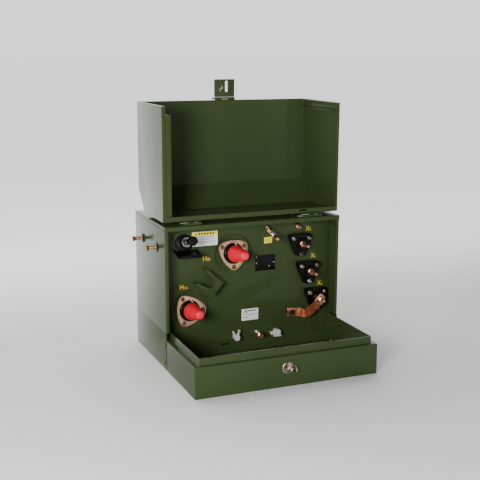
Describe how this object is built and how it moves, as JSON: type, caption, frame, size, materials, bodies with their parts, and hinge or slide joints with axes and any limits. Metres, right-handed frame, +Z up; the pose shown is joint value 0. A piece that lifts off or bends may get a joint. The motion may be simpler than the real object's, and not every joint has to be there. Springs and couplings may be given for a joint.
{
  "type": "pad-mounted transformer",
  "caption": "Green steel pad-mounted transformer on a low front sill, with its hinged hood open over the bushings and fittings of its front plate.",
  "frame": {"origin": "centre of the bounding box's base, on the ground with the hood open", "axes": "+Z up, +Y towards the tank's back, +X to the operator's right"},
  "size_m": [0.91, 0.83, 1.202],
  "materials": {
    "green_paint": "gloss",
    "yellow_zinc": "yellow zinc",
    "bare_steel": "bright zinc",
    "brass": "machined",
    "copper": "bare copper",
    "tinned_bronze": "tinned",
    "black_epoxy": "gloss",
    "black_plastic": "satin",
    "red_cap": "satin",
    "label_stock": "matte",
    "core_steel": "rolled",
    "coil_paper": "matte"
  },
  "bodies": {
    "tank": {"tank_wrapper": "green_paint", "tank_cover": "green_paint", "tank_floor": "green_paint", "front_plate": "green_paint", "base_skirt": "green_paint", "sill_shell": "green_paint", "lift_bolt_front_left": "yellow_zinc", "lift_bolt_rear_left": "yellow_zinc", "lift_bolt_front_right": "yellow_zinc", "lift_bolt_rear_right": "yellow_zinc", "lock_cup": "bare_steel", "lock_nut": "bare_steel", "padlock_eye": "bare_steel", "hinge_tank_leaf_left": "green_paint", "hinge_tank_leaf_right": "green_paint", "lip_clip": "green_paint", "hv_well_a": "black_epoxy", "hv_clamp_a": "yellow_zinc", "hv_well_b": "black_epoxy", "hv_clamp_b": "yellow_zinc", "lv_block_x3": "black_epoxy", "lv_stud_x3": "copper", "lv_block_x1": "black_epoxy", "lv_stud_x1": "copper", "lv_block_x2": "black_epoxy", "lv_stud_x2": "copper", "ground_strap": "copper", "ground_pad": "bare_steel", "ground_bolt": "bare_steel", "parking_stand": "green_paint", "nameplate": "black_plastic", "caution_label": "label_stock", "data_label": "label_stock", "relief_valve": "brass", "drain_plug": "brass", "connector_left": "tinned_bronze", "connector_right": "tinned_bronze", "fuse_housing": "black_plastic", "drip_guard": "black_plastic", "core": "core_steel", "coil": "coil_paper", "core_base": "core_steel", "core_yoke": "core_steel"},
    "hood": {"hood_shell": "green_paint", "hood_stop_left": "green_paint", "hood_stop_right": "green_paint", "hasp_leaf": "green_paint", "hinge_hood_leaf_left": "green_paint", "hinge_hood_leaf_right": "green_paint"},
    "hasp": {"hasp_plate": "green_paint"},
    "lock_bolt": {"penta_bolt": "bare_steel"},
    "cap_a": {"hv_cap_a": "red_cap"},
    "cap_b": {"hv_cap_b": "red_cap"},
    "relief_pull": {"relief_cap": "brass"},
    "level_plug": {"level_plug": "brass"},
    "screw_left": {"connector_screw_left": "tinned_bronze"},
    "screw_right": {"connector_screw_right": "tinned_bronze"},
    "fuse": {"fuse_holder": "black_plastic"},
    "fuse_handle": {"fuse_handle": "black_plastic"}
  },
  "joints": [
    {"name": "hood_hinge", "type": "hinge", "parent": "tank", "child": "hood", "pos_m": [0, -0.015, 0.622], "axis": [1, 0, 0], "range_deg": [0, 180]},
    {"name": "hasp_hinge", "type": "hinge", "parent": "hood", "child": "hasp", "pos_m": [0.0085, 0.3598, 1.1175], "axis": [1, 0, 0], "range_deg": [-95, 0]},
    {"name": "lock_bolt_turn", "type": "hinge", "parent": "hasp", "child": "lock_bolt", "pos_m": [-0.0095, 0.364, 1.163], "axis": [0, 1, 0], "continuous": true},
    {"name": "cap_a_pull", "type": "slide", "parent": "tank", "child": "cap_a", "axis": [0, 0.9925, -0.1219], "range_m": [-0.1, 0]},
    {"name": "cap_b_pull", "type": "slide", "parent": "tank", "child": "cap_b", "axis": [0, 0.9925, -0.1219], "range_m": [-0.1, 0]},
    {"name": "fuse_pull", "type": "slide", "parent": "tank", "child": "fuse", "axis": [0, 0.9659, -0.2588], "range_m": [-0.08, 0]},
    {"name": "fuse_handle_twist", "type": "hinge", "parent": "fuse", "child": "fuse_handle", "pos_m": [-0.291, 0.075, 0.524], "axis": [0, 0.9659, -0.2588], "range_deg": [-90, 0]},
    {"name": "relief_pull", "type": "slide", "parent": "tank", "child": "relief_pull", "axis": [0, -0.9659, -0.2588], "range_m": [0, 0.01], "stiffness_N_per_m": 400, "springref_m": -0.01},
    {"name": "level_plug_turn", "type": "hinge", "parent": "tank", "child": "level_plug", "pos_m": [0.244, 0.055, 0.562], "axis": [0, -1, 0], "continuous": true},
    {"name": "screw_left_turn", "type": "hinge", "parent": "tank", "child": "screw_left", "pos_m": [-0.056, 0.042, 0.082], "axis": [0.309, 0, 0.9511], "continuous": true},
    {"name": "screw_right_turn", "type": "hinge", "parent": "tank", "child": "screw_right", "pos_m": [0.142, 0.042, 0.086], "axis": [-0.9994, 0, 0.0349], "continuous": true}
  ]
}
